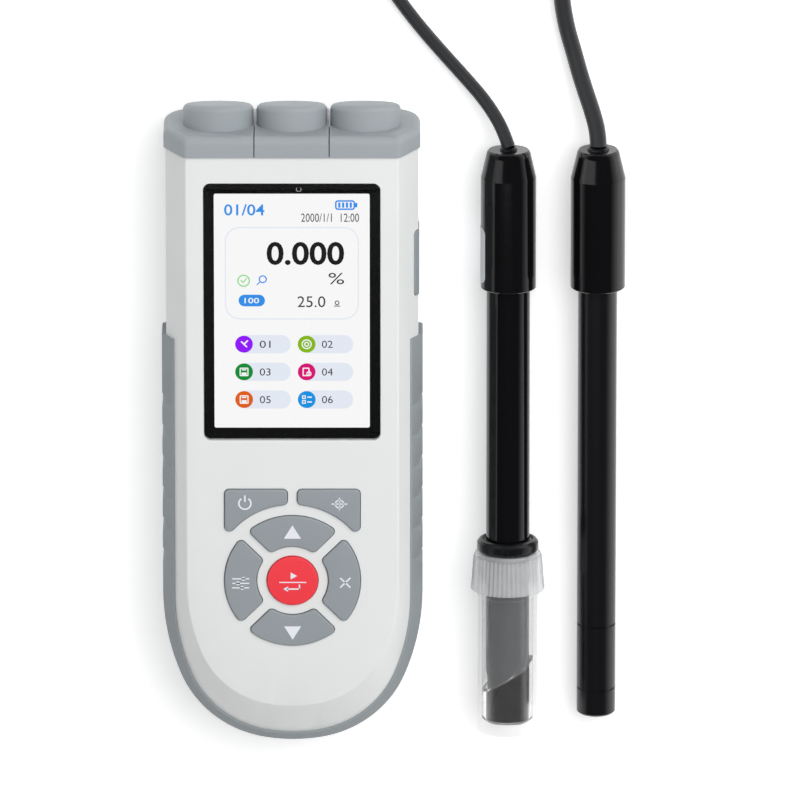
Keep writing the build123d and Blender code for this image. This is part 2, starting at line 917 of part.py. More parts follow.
# Bottled probe
ph_plane = lying_axis(ph_x, cap_high, cap_low_radius, ph_cone, ph_handle_radius)
probe_handle(
    ph_plane,
    "ph_probe",
    ph_top,
    ph_top_radius,
    ph_cone,
    ph_handle_radius,
    ph_handle_low,
    ph_shaft_radius,
    ph_cable,
)
save(
    turned(
        ph_plane,
        [
            (ph_shaft_low, ph_shaft_radius - ph_shaft_wall),
            (ph_shaft_low, ph_shaft_radius),
            (ph_handle_low + ph_shaft_in - slip, ph_shaft_radius),
            (ph_handle_low + ph_shaft_in - slip, ph_shaft_radius - ph_shaft_wall),
        ],
    ),
    "ph_probe_shaft",
)

with BuildPart() as guard:
    add(
        turned(
            ph_plane,
            [
                (guard_low, ph_shaft_radius - guard_wall),
                (guard_low, ph_shaft_radius),
                (ph_shaft_low - fit, ph_shaft_radius),
                (ph_shaft_low - fit, ph_shaft_radius - ph_shaft_wall - fit),
                (ph_shaft_low + guard_spigot, ph_shaft_radius - ph_shaft_wall - fit),
                (ph_shaft_low + guard_spigot, bulb_radius + fit),
                (guard_slot_top + 4, bulb_radius + fit),
                (guard_slot_top + 1, ph_shaft_radius - guard_wall),
            ],
        )
    )
    slot_length = guard_slot_top - guard_low + 2
    for number in range(guard_slots // 2):
        turn = guard_turn + number * 180 / (guard_slots // 2)
        slot_plane = across(ph_plane, guard_low - 2).rotated((0, 0, turn))
        slot_side = Plane(slot_plane.origin, x_dir=slot_plane.z_dir, z_dir=slot_plane.x_dir)
        slot_side = slot_side.offset(-ph_shaft_radius - 1)
        with BuildSketch(slot_side):
            with Locations((slot_length / 2, 0)):
                SlotOverall(2 * slot_length, guard_slot)
        extrude(amount=2 * ph_shaft_radius + 2, mode=Mode.SUBTRACT)
save(guard.part, "ph_probe_guard")

with BuildPart() as bulb:
    with BuildSketch(ph_plane):
        with BuildLine():
            stem = Polyline(
                (bulb_low, 0),
                (ph_shaft_low + 2 * guard_spigot, 0),
                (ph_shaft_low + 2 * guard_spigot, bulb_radius),
                (bulb_low + bulb_radius, bulb_radius),
            )
            RadiusArc(stem @ 1, stem @ 0, -bulb_radius)
        make_face()
    revolve(axis=Axis(ph_plane.origin, ph_plane.x_dir))
save(bulb.part, "ph_probe_bulb")

bottle_bore = bottle_radius - bottle_wall
bottle_inside = bottle_low + bottle_floor
save(
    turned(
        ph_plane,
        [
            (bottle_low, 0),
            (bottle_low, bottle_radius - 0.8),
            (bottle_low + 0.8, bottle_radius),
            (bottle_collar_low - 0.6, bottle_radius),
            (bottle_collar_low, bottle_collar),
            (bottle_collar_top, bottle_collar),
            (bottle_collar_top, bottle_radius),
            (bottle_mouth, bottle_radius),
            (bottle_mouth, bottle_bore),
            (bottle_inside + 1.0, bottle_bore),
            (bottle_inside, bottle_bore - 1.0),
            (bottle_inside, 0),
        ],
    ),
    "storage_bottle",
)


def ribbed_ring(plane, radius):
    """A round outline on the plane with small ribs all round it."""
    points = []
    for number in range(2 * rib_count):
        reach = radius - rib_depth * (number % 2)
        turn = math.pi * number / rib_count
        points.append((reach * math.cos(turn), reach * math.sin(turn)))
    with BuildSketch(plane) as ring:
        with BuildLine():
            Polyline(*points, close=True)
        make_face()
    return ring.sketch


with BuildPart() as bottle_cap:
    loft(
        [
            ribbed_ring(across(ph_plane, cap_low), cap_low_radius),
            ribbed_ring(across(ph_plane, rib_top), cap_high_radius),
        ],
        ruled=True,
    )
    add(
        turned(
            ph_plane,
            [
                (rib_top, 0),
                (rib_top, cap_high_radius - rib_depth),
                (cap_high - 0.4, cap_high_radius - rib_depth),
                (cap_high, cap_high_radius - 2 * rib_depth),
                (cap_high, 0),
            ],
        )
    )
    add(
        turned(
            ph_plane,
            [
                (cap_low - 1, 0),
                (cap_low - 1, bottle_radius + cap_thread_gap),
                (cap_high - cap_roof_thickness, bottle_radius + cap_thread_gap),
                (cap_high - cap_roof_thickness, ph_shaft_radius + 0.3),
                (cap_high + 1, ph_shaft_radius + 0.3),
                (cap_high + 1, 0),
            ],
        ),
        mode=Mode.SUBTRACT,
    )
save(bottle_cap.part, "bottle_cap")

save(
    turned(
        ph_plane,
        [
            (cap_high + fit, ph_shaft_radius + fit),
            (cap_high + fit, seal_radius - 0.6),
            (cap_high + 1.0, seal_radius),
            (seal_top - 1.2, seal_radius),
            (seal_top - 0.3, seal_radius - 0.7),
            (seal_top, seal_radius - 1.6),
            (seal_top - 0.7, ph_shaft_radius + 0.8),
            (seal_top - 0.9, ph_shaft_radius + fit),
        ],
    ),
    "bottle_seal",
)

with BuildPart() as storage_solution:
    add(
        turned(
            ph_plane,
            [
                (bottle_inside + solution_gap, 0),
                (guard_low - slip, 0),
                (guard_low - slip, ph_shaft_radius + solution_gap),
                (bottle_mouth, ph_shaft_radius + solution_gap),
                (bottle_mouth, bottle_bore - solution_gap),
                (bottle_inside + 1.0, bottle_bore - solution_gap),
                (bottle_inside + solution_gap, bottle_bore - 1.0 - solution_gap),
            ],
        )
    )
    level = (solution_left + solution_right) / 2
    split(
        bisect_by=Plane(
            origin=ph_plane.from_local_coords((level, 0, 0)),
            z_dir=(solution_left - solution_right, 2 * bottle_bore, 0),
        ),
        keep=Keep.BOTTOM,
    )
save(storage_solution.part, "storage_solution")

# Oxygen probe
do_plane = lying_axis(do_x, do_low, do_shaft_radius, do_handle_low, do_handle_radius)
probe_handle(
    do_plane,
    "oxygen_probe",
    do_top,
    do_top_radius,
    do_cone,
    do_handle_radius,
    do_handle_low,
    do_shaft_radius,
    do_cable,
)
do_bore = do_shaft_radius - do_shaft_wall
neck = do_shaft_radius - do_groove_depth
save(
    turned(
        do_plane,
        [
            (do_sleeve_high, do_bore),
            (do_sleeve_high, neck),
            (do_sleeve_high + do_groove, neck),
            (do_sleeve_high + do_groove, do_shaft_radius),
            (do_handle_low + ph_shaft_in - slip, do_shaft_radius),
            (do_handle_low + ph_shaft_in - slip, do_bore),
        ],
    ),
    "oxygen_probe_shaft",
)
save(
    turned(
        do_plane,
        [
            (do_cap_high + do_groove, do_core_radius + do_core_gap),
            (do_cap_high + do_groove, do_shaft_radius),
            (do_sleeve_high - fit, do_shaft_radius),
            (do_sleeve_high - fit, do_bore - fit),
            (do_sleeve_high + ph_shaft_in, do_bore - fit),
            (do_sleeve_high + ph_shaft_in, do_core_radius + do_core_gap),
        ],
    ),
    "oxygen_sensor_sleeve",
)
save(
    turned(
        do_plane,
        [
            (do_low + 1.2, 0),
            (do_low + 1.6, do_core_radius),
            (do_sleeve_high + ph_shaft_in, do_core_radius),
            (do_sleeve_high + ph_shaft_in, 0),
        ],
    ),
    "oxygen_sensor_core",
)
save(
    turned(
        do_plane,
        [
            (do_low, 0),
            (do_low, do_shaft_radius - do_chamfer),
            (do_low + do_chamfer, do_shaft_radius),
            (do_cap_high, do_shaft_radius),
            (do_cap_high, neck),
            (do_cap_high + do_groove - fit, neck),
            (do_cap_high + do_groove - fit, do_core_radius + do_core_gap),
            (do_low + 1.3, do_core_radius + do_core_gap),
            (do_low + 0.9, 0),
        ],
    ),
    "membrane_cap",
)


def cable_tube(name, route, diameter, tail, tail_plane):
    """The cable along its route as straight runs and large arcs, and its short tail at the plug."""
    points = [Vector(*point) for point in route]
    radii = []
    for before, point, after in zip(points, points[1:], points[2:]):
        turn = math.radians((point - before).get_angle(after - point))
        run = min((point - before).length, (after - point).length)
        radii.append(0.45 * run / math.tan(turn / 2))
    print(name, "radii", [round(radius, 1) for radius in radii])
    with BuildPart() as tube:
        with BuildLine() as path:
            FilletPolyline(*points, radius=radii)
        with BuildSketch(Plane(origin=path.wire() @ 0, z_dir=path.wire() % 0)):
            Circle(diameter / 2)
        sweep()
    length = path.wire().length
    share = tube.part.volume / (math.pi * diameter**2 / 4 * length)
    print(name, "length", round(length, 1), "volume over section times length", round(share, 4))
    with BuildPart() as cable:
        add(tube.part)
        with BuildSketch(tail_plane):
            Circle(diameter / 2)
        extrude(amount=tail)
    save(cable.part, name)


def cable_coil(name, centre, diameter):
    """The outer shape of the coiled length: turns three wide and two high."""
    middle = coil_middle * diameter
    spread = coil_half * diameter
    with BuildPart() as coil:
        with BuildSketch(Plane.XY.offset(coil_floor)):
            with Locations(centre):
                Circle(middle + spread)
                Circle(middle - spread, mode=Mode.SUBTRACT)
        extrude(amount=2 * diameter - coil_floor)
        chamfer(coil.edges(), diameter / 4)
    save(coil.part, name)


def tail_start(centre, diameter, height):
    """The plane where a cable leaves the top of its coil and runs towards -X at a height."""
    leave_y = centre[1] + (coil_middle + 1) * diameter
    return Plane(origin=(centre[0] - 1, leave_y, height), x_dir=(0, 1, 0), z_dir=(-1, 0, 0))


def along_plug(plane, start):
    """The plane whose X axis runs down a plug from a distance along its cable."""
    return Plane(origin=plane.offset(start).origin, x_dir=plane.z_dir, z_dir=(0, 1, 0))


def down_plug(plane, along):
    """The plane square to a plug at a distance along it, facing its open end."""
    return Plane(origin=plane.from_local_coords((along, 0, 0)), z_dir=plane.x_dir)


# Cables and plugs
ph_tail_plane = tail_start(ph_coil_centre, ph_cable, ph_sleeve_radius)
do_tail_plane = tail_start(do_coil_centre, do_cable, do_nut_radius)
cable_tube("ph_cable", ph_route, ph_cable, ph_tail, ph_tail_plane)
cable_tube("oxygen_cable", do_route, do_cable, do_tail, do_tail_plane)
cable_coil("ph_cable_coil", ph_coil_centre, ph_cable)
cable_coil("oxygen_cable_coil", do_coil_centre, do_cable)

ph_plug_plane = along_plug(ph_tail_plane, ph_tail)
sleeve_start = ph_boot_length + ph_body_length
sleeve_end = sleeve_start + ph_sleeve_length
save(
    turned(
        ph_plug_plane,
        [
            (0, 0),
            (0, ph_cable / 2 + 0.7),
            (ph_boot_length, ph_body_radius - 0.8),
            (ph_boot_length, ph_body_radius),
            (sleeve_start - fit, ph_body_radius),
            (sleeve_start - fit, bnc_radius - 0.6),
            (sleeve_end - 2.5, bnc_radius - 0.6),
            (sleeve_end - 2.5, bnc_radius - 1.4),
            (sleeve_start + 1, bnc_radius - 1.4),
            (sleeve_start + 1, 0),
        ],
    ),
    "ph_plug_body",
)

with BuildPart() as ph_sleeve:
    add(
        turned(
            ph_plug_plane,
            [
                (sleeve_start + fit, bnc_radius - 0.5),
                (sleeve_start + fit, ph_sleeve_radius - 0.7),
                (sleeve_start + 1, ph_sleeve_radius),
                (sleeve_end - 5, ph_sleeve_radius),
                (sleeve_end - 4.5, ph_sleeve_radius - 0.5),
                (sleeve_end, ph_sleeve_radius - 0.5),
                (sleeve_end, bnc_radius + 0.2),
                (sleeve_start + 4, bnc_radius + 0.2),
                (sleeve_start + 4, bnc_radius - 0.5),
            ],
        )
    )
    with BuildSketch(down_plug(ph_plug_plane, sleeve_start + 1.5)):
        with PolarLocations(ph_sleeve_radius, ph_knurls):
            Rectangle(knurl_width, knurl_depth)
    extrude(amount=ph_sleeve_length - 7.5, mode=Mode.SUBTRACT)
save(ph_sleeve.part, "ph_plug_sleeve")

do_plug_plane = along_plug(do_tail_plane, do_tail)
nut_start = do_boot_length + do_body_length - do_nut_length / 2
nut_end = nut_start + do_nut_length
save(
    turned(
        do_plug_plane,
        [
            (0, 0),
            (0, do_cable / 2 + 0.6),
            (do_boot_length - 2, do_body_radius - 1.6),
            (do_boot_length, do_body_radius),
            (nut_start - fit, do_body_radius),
            (nut_start - fit, do_body_radius - 1.2),
            (nut_end - 2, do_body_radius - 1.2),
            (nut_end - 2, do_body_radius - 2.2),
            (nut_start + 3, do_body_radius - 2.2),
            (nut_start + 3, 0),
        ],
    ),
    "oxygen_plug_body",
)

with BuildPart() as do_nut:
    add(
        turned(
            do_plug_plane,
            [
                (nut_start + fit, do_body_radius - 1.1),
                (nut_start + fit, do_nut_radius - 0.5),
                (nut_start + 0.5, do_nut_radius),
                (nut_end - 0.5, do_nut_radius),
                (nut_end, do_nut_radius - 0.5),
                (nut_end, do_nut_radius - 1.4),
                (nut_start + 3, do_nut_radius - 1.4),
                (nut_start + 3, do_body_radius - 1.1),
            ],
        )
    )
    with BuildSketch(down_plug(do_plug_plane, nut_start + 1)):
        with PolarLocations(do_nut_radius, do_knurls):
            Rectangle(knurl_width, knurl_depth)
    extrude(amount=do_nut_length - 2, mode=Mode.SUBTRACT)
save(do_nut.part, "oxygen_plug_nut")

with BuildPart() as plug_contacts:
    with BuildSketch(down_plug(ph_plug_plane, sleeve_start + 1)):
        Circle(pin_radius)
    extrude(amount=ph_sleeve_length - 5)
    with BuildSketch(down_plug(do_plug_plane, nut_start + 3)):
        with PolarLocations(pin_pitch, pin_count):
            Circle(pin_radius)
    extrude(amount=do_nut_length - 6)
save(plug_contacts.part, "plug_contacts")
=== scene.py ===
"""A handheld water meter and its two probes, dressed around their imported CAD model."""

import json
import math

import bmesh
import bpy
from mathutils import Matrix, Vector

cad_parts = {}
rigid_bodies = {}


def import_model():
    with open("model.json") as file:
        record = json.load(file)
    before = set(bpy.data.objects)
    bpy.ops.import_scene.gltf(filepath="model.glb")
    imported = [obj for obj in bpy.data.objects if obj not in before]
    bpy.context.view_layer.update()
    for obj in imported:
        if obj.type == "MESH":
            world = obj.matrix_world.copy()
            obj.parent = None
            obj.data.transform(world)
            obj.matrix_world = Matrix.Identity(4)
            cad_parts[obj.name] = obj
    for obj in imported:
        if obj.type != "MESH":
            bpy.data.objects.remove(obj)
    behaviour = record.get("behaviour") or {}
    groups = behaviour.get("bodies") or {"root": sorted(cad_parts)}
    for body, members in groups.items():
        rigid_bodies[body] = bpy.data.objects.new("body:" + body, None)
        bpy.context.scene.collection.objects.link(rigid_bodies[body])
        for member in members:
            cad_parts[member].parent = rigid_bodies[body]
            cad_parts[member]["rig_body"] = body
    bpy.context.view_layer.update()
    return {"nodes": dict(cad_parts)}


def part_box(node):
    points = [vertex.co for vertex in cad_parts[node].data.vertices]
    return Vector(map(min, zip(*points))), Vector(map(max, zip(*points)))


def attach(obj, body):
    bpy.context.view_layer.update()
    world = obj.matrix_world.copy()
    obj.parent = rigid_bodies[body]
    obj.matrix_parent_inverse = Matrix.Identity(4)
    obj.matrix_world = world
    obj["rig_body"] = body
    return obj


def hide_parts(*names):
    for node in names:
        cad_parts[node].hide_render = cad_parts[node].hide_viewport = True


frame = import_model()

scene = bpy.context.scene
scene.view_settings.view_transform = "Standard"
MM = 0.001


def ends(node):
    """A CAD node's lowest and highest corner, in millimetres."""
    low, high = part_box(node)
    return low / MM, high / MM


# Camera: far off, so that the view is nearly parallel, leaning from the face towards the sockets
LEAN = math.radians(17)
DISTANCE = 4.5
# The photograph is 800 pixels wide, and a pixel is this many millimetres
PIXEL = 0.318
VIEW_WIDTH = 800 * PIXEL * MM
SENSOR = 36
back = Vector((0, math.sin(LEAN), math.cos(LEAN)))
up = Vector((0, math.cos(LEAN), -math.sin(LEAN)))
target = Vector((34.03, 7.32, 0)) * MM
camera_data = bpy.data.cameras.new("camera")
camera_data.sensor_width = SENSOR
camera_data.lens = SENSOR * DISTANCE / VIEW_WIDTH
camera_data.clip_start = 0.1
camera_data.clip_end = 50
camera = bpy.data.objects.new("camera", camera_data)
turn = Matrix((Vector((1, 0, 0)), up, back)).transposed().to_4x4()
camera.matrix_world = Matrix.Translation(target + DISTANCE * back) @ turn
scene.collection.objects.link(camera)
scene.camera = camera


# Cords
COIL_STEPS = 18
COIL_LANES = 3
COIL_TURNS = 5.25
# The share of a turn on which the cable passes to the next lane or layer
SHIFT = 0.25
TABLE_GAP = 0.05


def coil_points(node, diameter):
    """The turns of a cable in its CAD coil, two layers high, from its outside at angle 0."""
    low, high = ends(node)
    centre = (low + high) / 2
    start_radius = (high.x - low.x - diameter) / 2
    # The control points lie outside the round that the smooth line between them draws
    fuller = 1 / math.cos(math.pi / COIL_STEPS)
    last = COIL_LANES - 1
    points = []
    for step in range(1, int(COIL_TURNS * COIL_STEPS) + 1):
        turns = step / COIL_STEPS
        if turns <= COIL_LANES:
            passed = max(0, (turns % 1 - 1 + SHIFT) / SHIFT)
            lane = min(math.floor(turns) + passed, last)
            height = 0.5 + max(0, (turns - COIL_LANES + SHIFT) / SHIFT)
        else:
            above = turns - COIL_LANES
            lane = max(0, last - math.floor(above) - min(1, above % 1 / SHIFT))
            height = 1.5
        radius = (start_radius - lane * diameter) * fuller
        angle = math.tau * turns
        x = centre.x + radius * math.cos(angle)
        y = centre.y + radius * math.sin(angle)
        points.append((x, y, height * diameter + TABLE_GAP))
    return points


def lay_cable(name, points, diameter):
    """A round cable whose smooth line is drawn by its control points, in millimetres.

    The line's depth is 1, so each point's own radius is the cable's.
    """
    line = bpy.data.curves.new(name, "CURVE")
    line.dimensions = "3D"
    spline = line.splines.new("NURBS")
    spline.points.add(len(points) - 1)
    for control, place in zip(spline.points, points):
        control.co = (*(MM * value for value in place), 1)
        control.radius = MM * diameter / 2
    spline.order_u = 3
    spline.use_endpoint_u = True
    spline.resolution_u = 5
    line.bevel_depth = 1
    line.bevel_resolution = 6
    line.use_fill_caps = True
    cable = bpy.data.objects.new(name, line)
    scene.collection.objects.link(cable)
    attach(cable, "root")
    return cable


# The bottled probe's cable: from the handle to the coil, and from the coil into the plug
PH_CABLE = 4.2
ph_route = [
    (68.3, 93.6, 8.56),
    (67.3, 96.6, 8.0),
    (64.9, 101.7, 6.5),
    (60.6, 107.9, 4.4),
    (54.6, 114.6, 2.8),
    (47.6, 122.4, 2.2),
    (39.6, 131.9, 2.15),
    (32.3, 141.9, 2.15),
    (25.7, 152.4, 2.15),
    (20.1, 163.4, 2.15),
    (15.9, 175.1, 2.15),
    (13.2, 190.0, 2.15),
]
ph_plug_end = [(-20.0, 217.3, 7.1), (-25.0, 217.3, 7.25), (-31.5, 217.3, 7.25)]
ph_coil = coil_points("ph_cable_coil", PH_CABLE)
ph_line = lay_cable("bottled_probe_cable", ph_route + ph_coil + ph_plug_end, PH_CABLE)

# The oxygen probe's cable, in the same way
OXYGEN_CABLE = 5.3
oxygen_route = [
    (96.6, 94.0, 9.53),
    (96.5, 98.0, 9.0),
    (95.0, 103.8, 7.6),
    (92.8, 110.1, 5.9),
    (90.7, 116.4, 4.3),
    (88.9, 123.0, 3.2),
    (86.6, 130.6, 2.7),
    (84.9, 140.4, 2.7),
    (84.5, 151.5, 2.7),
    (85.7, 163.0, 2.7),
    (88.2, 174.5, 2.7),
    (91.0, 185.5, 2.7),
    (92.4, 196.0, 2.7),
]
oxygen_plug_end = [(51.0, 230.45, 7.95), (45.0, 230.45, 8.0), (37.5, 230.45, 8.0)]
oxygen_coil = coil_points("oxygen_cable_coil", OXYGEN_CABLE)
oxygen_line = lay_cable(
    "oxygen_probe_cable", oxygen_route + oxygen_coil + oxygen_plug_end, OXYGEN_CABLE
)


# Materials
def shade(code):
    """A colour's linear red, green, blue and alpha from its sRGB hex code."""
    channels = [int(code[at : at + 2], 16) / 255 for at in (1, 3, 5)]
    linear = [c / 12.92 if c <= 0.04045 else ((c + 0.055) / 1.055) ** 2.4 for c in channels]
    return (*linear, 1)


def put(tree, kind, values=None, sources=None, **settings):
    """Adds a node with its settings, its sockets' values and the sockets that feed it."""
    made = tree.nodes.new(kind)
    for name, value in settings.items():
        setattr(made, name, value)
    for name, value in (values or {}).items():
        made.inputs[name].default_value = value
    for name, source in (sources or {}).items():
        tree.links.new(source, made.inputs[name])
    return made


def new_material(name):
    """An empty node material and its node tree."""
    made = bpy.data.materials.new(name)
    made.use_nodes = True
    made.node_tree.nodes.clear()
    return made, made.node_tree


# Patches about 22 mm across in mouldings, 4.5 mm in clear plastic's haze and 3.3 mm in liquid
TONE_SCALE = 45.0
HAZE_SCALE = 220.0
SWIRL_SCALE = 300.0
# Turning marks 0.4 mm apart, coarser than real ones so that they show
MARKS_SCALE = 1 / (0.4 * MM)


def moulded(name, colour, roughness, grain, depth, second):
    """Moulded plastic or rubber, with the steel mould's grain and a faint change to a second tone.

    The grain's size and depth are in millimetres.
    """
    made, tree = new_material(name)
    place = put(tree, "ShaderNodeTexCoord").outputs["Object"]
    fine = put(
        tree,
        "ShaderNodeTexNoise",
        {"Scale": 1 / (grain * MM), "Detail": 2.0},
        {"Vector": place},
    )
    broad = put(
        tree,
        "ShaderNodeTexNoise",
        {"Scale": TONE_SCALE, "Detail": 3.0},
        {"Vector": place},
    )
    mix = put(
        tree,
        "ShaderNodeMix",
        {6: shade(colour), 7: shade(second)},
        {0: broad.outputs["Fac"]},
        data_type="RGBA",
    )
    rough = put(
        tree,
        "ShaderNodeMapRange",
        {"To Min": roughness - 0.03, "To Max": roughness + 0.03},
        {"Value": fine.outputs["Fac"]},
    )
    bump = put(
        tree,
        "ShaderNodeBump",
        {"Strength": 0.6, "Distance": depth * MM},
        {"Height": fine.outputs["Fac"]},
    )
    skin = put(
        tree,
        "ShaderNodeBsdfPrincipled",
        sources={
            "Base Color": mix.outputs[2],
            "Roughness": rough.outputs["Result"],
            "Normal": bump.outputs["Normal"],
        },
    )
    put(tree, "ShaderNodeOutputMaterial", sources={"Surface": skin.outputs["BSDF"]})
    return made


# ABS, satin from a finely blasted mould: soft, wide highlights
abs_white = moulded("abs_white", "#F0F2F1", 0.38, 0.35, 0.004, "#EBEDEC")
abs_grey = moulded("abs_grey", "#9AA1A5", 0.42, 0.35, 0.005, "#939A9F")
# Thermoplastic rubber over the case: dull, with a drier grain
tpe_grip = moulded("tpe_grip", "#9AA1A5", 0.58, 0.4, 0.008, "#939A9E")
rubber_cover = moulded("rubber_cover", "#A6ACB0", 0.5, 0.4, 0.006, "#9EA5A9")
# Silicone keys with a polyurethane coat
key_grey = moulded("key_grey", "#9CA3A8", 0.4, 0.3, 0.003, "#969DA2")
key_red = moulded("key_red", "#FF3E4B", 0.36, 0.3, 0.003, "#F93744")
# Polished ABS of the probes: sharp reflections on black
abs_black = moulded("abs_black", "#0B0B0D", 0.09, 1.2, 0.001, "#0E0E11")
# The same ABS, rubbed to a satin
abs_black_satin = moulded("abs_black_satin", "#101014", 0.24, 0.5, 0.002, "#131317")
# Nitrile rubber seals and collars, PVC cable and plug bodies, screen-printed black
nitrile_black = moulded("nitrile_black", "#0C0D0F", 0.3, 0.5, 0.003, "#101114")
pvc_black = moulded("pvc_black", "#2A2B2E", 0.4, 0.5, 0.004, "#2F3033")
print_black = moulded("print_black", "#060707", 0.2, 0.5, 0.0, "#080909")
# Socket insulators, battery wrap, solder mask, white legends and the paper label
socket_grey = moulded("socket_grey", "#D9D8D2", 0.4, 0.4, 0.003, "#D2D1CB")
battery_blue = moulded("battery_blue", "#3A5F9A", 0.35, 0.6, 0.003, "#345890")
mask_green = moulded("mask_green", "#1C5A36", 0.35, 0.4, 0.002, "#184F30")
legend_white = moulded("legend_white", "#F2F4FB", 0.45, 0.3, 0.001, "#EEF0F7")
paper_label = moulded("paper_label", "#E9EAEE", 0.45, 0.3, 0.002, "#E2E4E9")


def plated(name, colour, roughness):
    """Turned metal under a bright plating: fine turning marks round it."""
    made, tree = new_material(name)
    place = put(tree, "ShaderNodeTexCoord").outputs["Object"]
    marks = put(
        tree,
        "ShaderNodeTexNoise",
        {"Scale": MARKS_SCALE, "Detail": 2.0},
        {"Vector": place},
    )
    rough = put(
        tree,
        "ShaderNodeMapRange",
        {"To Min": roughness - 0.05, "To Max": roughness + 0.08},
        {"Value": marks.outputs["Fac"]},
    )
    skin = put(
        tree,
        "ShaderNodeBsdfPrincipled",
        {"Base Color": shade(colour), "Metallic": 1.0},
        {"Roughness": rough.outputs["Result"]},
    )
    put(tree, "ShaderNodeOutputMaterial", sources={"Surface": skin.outputs["BSDF"]})
    return made


# Nickel on brass, and gold on the contacts
nickel = plated("nickel", "#C9C7C0", 0.28)
gold = plated("gold", "#E0B860", 0.25)


def lit(name, colour):
    """A lit part of the screen, which keeps its colour whatever light falls on it."""
    made, tree = new_material(name)
    skin = put(
        tree,
        "ShaderNodeBsdfPrincipled",
        {
            "Base Color": shade("#101010"),
            "Emission Color": shade(colour),
            "Emission Strength": 1.0,
            "Specular IOR Level": 0.0,
        },
    )
    put(tree, "ShaderNodeOutputMaterial", sources={"Surface": skin.outputs["BSDF"]})
    return made


# The shares that clear plastic reflects facing the view, and more of it at its edges
FACE_SHARE = 0.04
EDGE_GAIN = 0.7


def clear(name, roughness, haze=0.0, line=None):
    """Thin clear plastic with a faint haze, only above a slanting line where one is given.

    The line is two places in X and Y, in millimetres.
    """
    made, tree = new_material(name)
    place = put(tree, "ShaderNodeTexCoord").outputs["Object"]
    cloud = put(
        tree,
        "ShaderNodeTexNoise",
        {"Scale": HAZE_SCALE, "Detail": 3.0},
        {"Vector": place},
    )
    rough = put(
        tree,
        "ShaderNodeMapRange",
        {"To Min": roughness, "To Max": roughness + 0.05},
        {"Value": cloud.outputs["Fac"]},
    )
    through = put(tree, "ShaderNodeBsdfTransparent")
    gloss = put(tree, "ShaderNodeBsdfGlossy", sources={"Roughness": rough.outputs["Result"]})
    # It reflects 4% where it faces the view and 74% at its edges
    facing = put(tree, "ShaderNodeLayerWeight").outputs["Facing"]
    steep = put(tree, "ShaderNodeMath", {1: 5.0}, {0: facing}, operation="POWER")
    edge = put(
        tree,
        "ShaderNodeMath",
        {1: EDGE_GAIN, 2: FACE_SHARE},
        {0: steep.outputs[0]},
        operation="MULTIPLY_ADD",
    )
    skin = put(
        tree,
        "ShaderNodeMixShader",
        sources={0: edge.outputs[0], 1: through.outputs[0], 2: gloss.outputs[0]},
    )
    if haze:
        bloom = put(tree, "ShaderNodeBsdfDiffuse", {"Color": shade("#F4F6F8")})
        share = put(
            tree,
            "ShaderNodeMapRange",
            {"To Min": haze * 0.9, "To Max": haze * 1.1},
            {"Value": cloud.outputs["Fac"]},
        ).outputs["Result"]
        if line:
            (left_x, left_y), (right_x, right_y) = line
            rise = (right_y - left_y) / (right_x - left_x)
            at = put(tree, "ShaderNodeSeparateXYZ", sources={0: place})
            level = put(
                tree,
                "ShaderNodeMath",
                {1: rise, 2: (left_y - rise * left_x) * MM},
                {0: at.outputs["X"]},
                operation="MULTIPLY_ADD",
            )
            above = put(
                tree,
                "ShaderNodeMath",
                sources={0: at.outputs["Y"], 1: level.outputs[0]},
                operation="GREATER_THAN",
            )
            share = put(
                tree,
                "ShaderNodeMath",
                sources={0: share, 1: above.outputs[0]},
                operation="MULTIPLY",
            ).outputs[0]
        skin = put(
            tree,
            "ShaderNodeMixShader",
            sources={0: share, 1: skin.outputs[0], 2: bloom.outputs[0]},
        )
    put(tree, "ShaderNodeOutputMaterial", sources={"Surface": skin.outputs[0]})
    return made


def liquid(name, tint, ior):
    """A clear liquid that bends what is seen through it."""
    made, tree = new_material(name)
    place = put(tree, "ShaderNodeTexCoord").outputs["Object"]
    cloud = put(
        tree,
        "ShaderNodeTexNoise",
        {"Scale": SWIRL_SCALE, "Detail": 2.0},
        {"Vector": place},
    )
    rough = put(
        tree,
        "ShaderNodeMapRange",
        {"To Min": 0.0, "To Max": 0.02},
        {"Value": cloud.outputs["Fac"]},
    )
    skin = put(
        tree,
        "ShaderNodeBsdfPrincipled",
        {"Base Color": shade(tint), "Transmission Weight": 1.0, "IOR": ior},
        {"Roughness": rough.outputs["Result"]},
    )
    put(tree, "ShaderNodeOutputMaterial", sources={"Surface": skin.outputs["BSDF"]})
    return made


# Hard-coated acrylic window, and a clear bottle that is hazed above its liquid
window_clear = clear("window_clear", 0.02)
SOLUTION_LINE = ((58.9, -85.5), (77.7, -74.4))
bottle_clear = clear("bottle_clear", 0.05, 0.08, SOLUTION_LINE)
# Unpolished polypropylene cap: cloudy
cap_clear = clear("cap_clear", 0.08, 0.3)
# Storage solution, which bends light as water does
WATER_IOR = 1.33
solution_clear = liquid("solution_clear", "#FDFDFC", WATER_IOR)
# Smoked glass of the bulb and the electrode's core, seen as a dark solid
bulb_glass = moulded("bulb_glass", "#6B635B", 0.12, 0.8, 0.0, "#625A52")
# The lit panel
screen_white = lit("screen_white", "#FFFFFF")


# Pieces that keep the CAD's form: merged and smooth-shaded copies of its nodes
CREASE = math.radians(32)


def dress(node, material):
    """A smooth-shaded copy of a CAD node, in its own material, which stands for it."""
    source = frame["nodes"][node]
    form = bmesh.new()
    form.from_mesh(source.data)
    bmesh.ops.remove_doubles(form, verts=form.verts, dist=1e-6)
    for face in form.faces:
        face.smooth = True
    for edge in form.edges:
        edge.smooth = len(edge.link_faces) == 2 and edge.calc_face_angle(0) < CREASE
    mesh = bpy.data.meshes.new(f"{node}_skin")
    form.to_mesh(mesh)
    form.free()
    piece = bpy.data.objects.new(f"{node}_skin", mesh)
    scene.collection.objects.link(piece)
    mesh.materials.append(material)
    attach(piece, source["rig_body"])
    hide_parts(node)
    return piece


